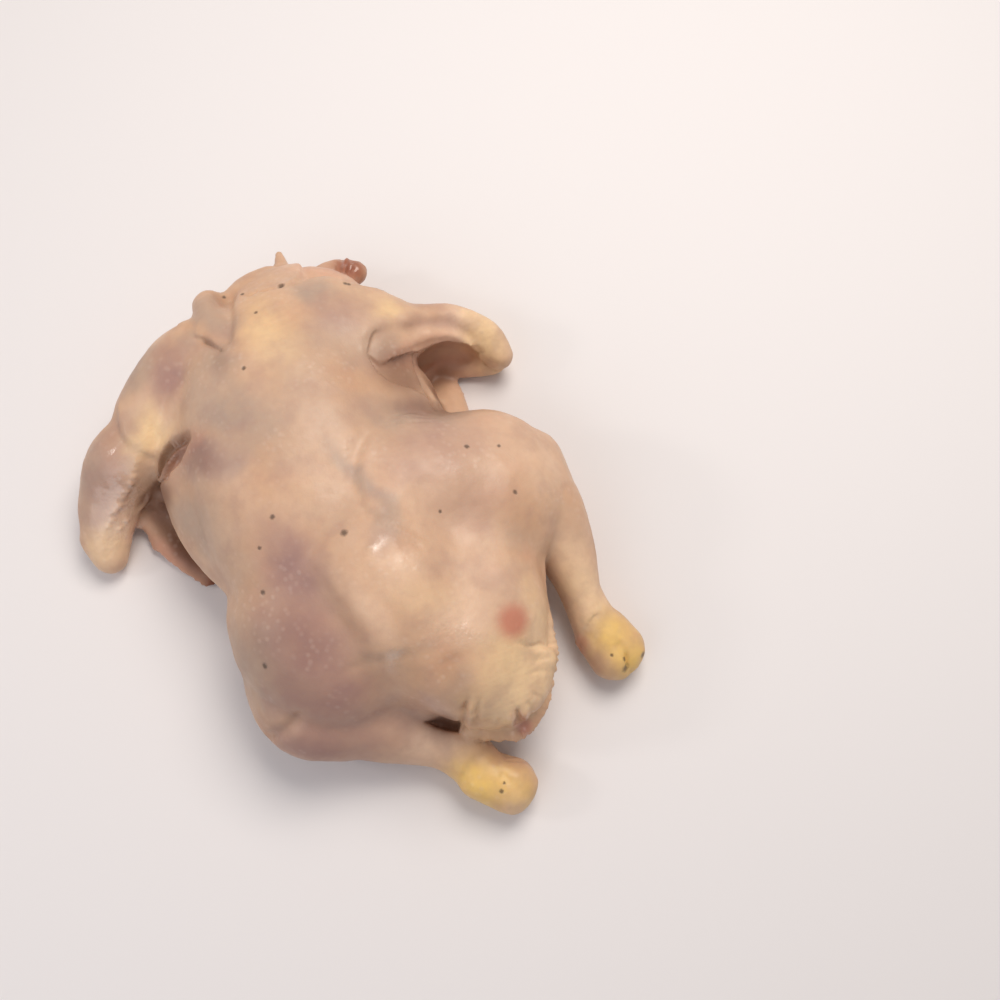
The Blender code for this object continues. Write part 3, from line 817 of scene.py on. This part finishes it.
def skinMaterial(skin):
    material = bpy.data.materials.new("moistSkin")
    material.use_nodes = True
    tree = material.node_tree
    shader = tree.nodes["Principled BSDF"]
    place = addNode(tree, "ShaderNodeTexCoord").outputs["Object"]

    dots = poreDots(tree, place)
    bruised, holes = spotMasks(tree, place, skin)
    colour = skinColour(tree, place, dots)
    bruised = mathNode(tree, "MULTIPLY", bruised, bruise["strength"])
    colour = mixColour(tree, bruised, colour, bruise["colour"])
    # darkens the feather stubs, and paints shade into small holes and the shoulder fold
    dark = mathNode(tree, "MULTIPLY", holes, finish["stubStrength"])
    colour = mixColour(tree, dark, colour, finish["stub"])
    link(tree, colour, shader.inputs["Base Color"])

    wetness = paintedLayer(tree, "skinVeils")[2]
    wet = mathNode(tree, "MULTIPLY", wetness, pattern(tree, place, "damp"))
    node = addNode(tree, "ShaderNodeMix", data_type="FLOAT")
    link(tree, wet, node.inputs[0])
    link(tree, pattern(tree, place, "matt"), node.inputs[2])
    node.inputs[3].default_value = finish["wetRoughness"]
    link(tree, node.outputs[0], shader.inputs["Roughness"])
    coat = finish["coat"]
    link(tree, mathNode(tree, "MULTIPLY", wet, coat["weight"]), shader.inputs["Coat Weight"])
    shader.inputs["Coat Roughness"].default_value = coat["roughness"]
    shader.inputs["Coat IOR"].default_value = coat["ior"]
    shader.inputs["Subsurface Weight"].default_value = finish["scatter"]
    shader.inputs["Subsurface Radius"].default_value = finish["scatterColour"]
    shader.inputs["Subsurface Scale"].default_value = finish["scatterSize"]
    shader.inputs["Specular IOR Level"].default_value = finish["specular"]

    bump = addNode(tree, "ShaderNodeBump")
    bump.inputs["Strength"].default_value = finish["bump"]["strength"]
    bump.inputs["Distance"].default_value = finish["bump"]["depth"] * mm
    link(tree, skinHeight(tree, place, dots, holes), bump.inputs["Height"])
    link(tree, bump.outputs["Normal"], shader.inputs["Normal"])
    return material


skin = makeSkin("wholeBird")
pressPockets(skin)
pressFolds(skin)
raiseDetails(skin)
report("folds and bumps made")
paintZones(skin)
skin.data.materials.clear()
skin.data.materials.append(skinMaterial(skin))
skin.data.shade_smooth()
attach(skin, "root")
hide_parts("chicken")
report("skin dressed")

# floor, lights and the photo's camera, in metres
studio = {
    "floorSize": 3.0, "floorDrop": 0.0002, "floorRoughness": 0.75,
    "floor": (0.80, 0.76, 0.76, 1), "sky": (0.97, 0.97, 1.0, 1), "skyStrength": 0.36,
    "key": ((0.46, 0.30, 0.98), 0.6, 9.1, (1.0, 0.94, 0.86)),       # place, size, power, colour
    "spark": ((-0.86, 0.45, 0.72), 0.16, 1.5, (1.0, 0.96, 0.92)),     # small, for the wet glints
    "fill": ((-0.75, -0.20, 0.75), 0.9, 2.2, (0.93, 0.95, 1.0)),
    "target": (0, 0, 0.04),                                         # what the lights face
    "lens": 41.4, "sensor": 36.0, "eye": (0.0126, -0.1493, 0.6007),
    "right": (0.8873, -0.4611, -0.0036), "up": (0.4473, 0.8589, 0.2493),
}


def makeStudio():
    bm = bmesh.new()
    bmesh.ops.create_grid(bm, x_segments=1, y_segments=1, size=studio["floorSize"])
    mesh = bpy.data.meshes.new("floor")
    bm.to_mesh(mesh)
    bm.free()
    floor = bpy.data.objects.new("floor", mesh)
    bpy.context.scene.collection.objects.link(floor)
    floor.location.z = -studio["floorDrop"]
    paint = bpy.data.materials.new("paleFloor")
    paint.use_nodes = True
    shader = paint.node_tree.nodes["Principled BSDF"]
    shader.inputs["Base Color"].default_value = studio["floor"]
    shader.inputs["Roughness"].default_value = studio["floorRoughness"]
    mesh.materials.append(paint)

    world = bpy.data.worlds.new("studio")
    bpy.context.scene.world = world
    world.use_nodes = True
    world.node_tree.nodes["Background"].inputs["Color"].default_value = studio["sky"]
    world.node_tree.nodes["Background"].inputs["Strength"].default_value = studio["skyStrength"]
    for label in ("key", "spark", "fill"):
        place, size, power, colour = studio[label]
        lamp = bpy.data.lights.new(label, "AREA")
        lamp.size, lamp.energy, lamp.color = size, power, colour
        lampObject = bpy.data.objects.new(label, lamp)
        bpy.context.scene.collection.objects.link(lampObject)
        lampObject.location = place
        facing = Vector(studio["target"]) - Vector(place)
        lampObject.rotation_euler = facing.to_track_quat("-Z", "Y").to_euler()

    camera = bpy.data.cameras.new("camera")
    camera.lens, camera.sensor_width = studio["lens"], studio["sensor"]
    eye = bpy.data.objects.new("camera", camera)
    bpy.context.scene.collection.objects.link(eye)
    right, up = Vector(studio["right"]).normalized(), Vector(studio["up"]).normalized()
    eye.matrix_world = Matrix.Translation(Vector(studio["eye"])) \
        @ Matrix((right, up, right.cross(up))).transposed().to_4x4()
    bpy.context.scene.camera = eye
    bpy.context.scene.view_settings.view_transform = "Standard"


makeStudio()
report("studio set")
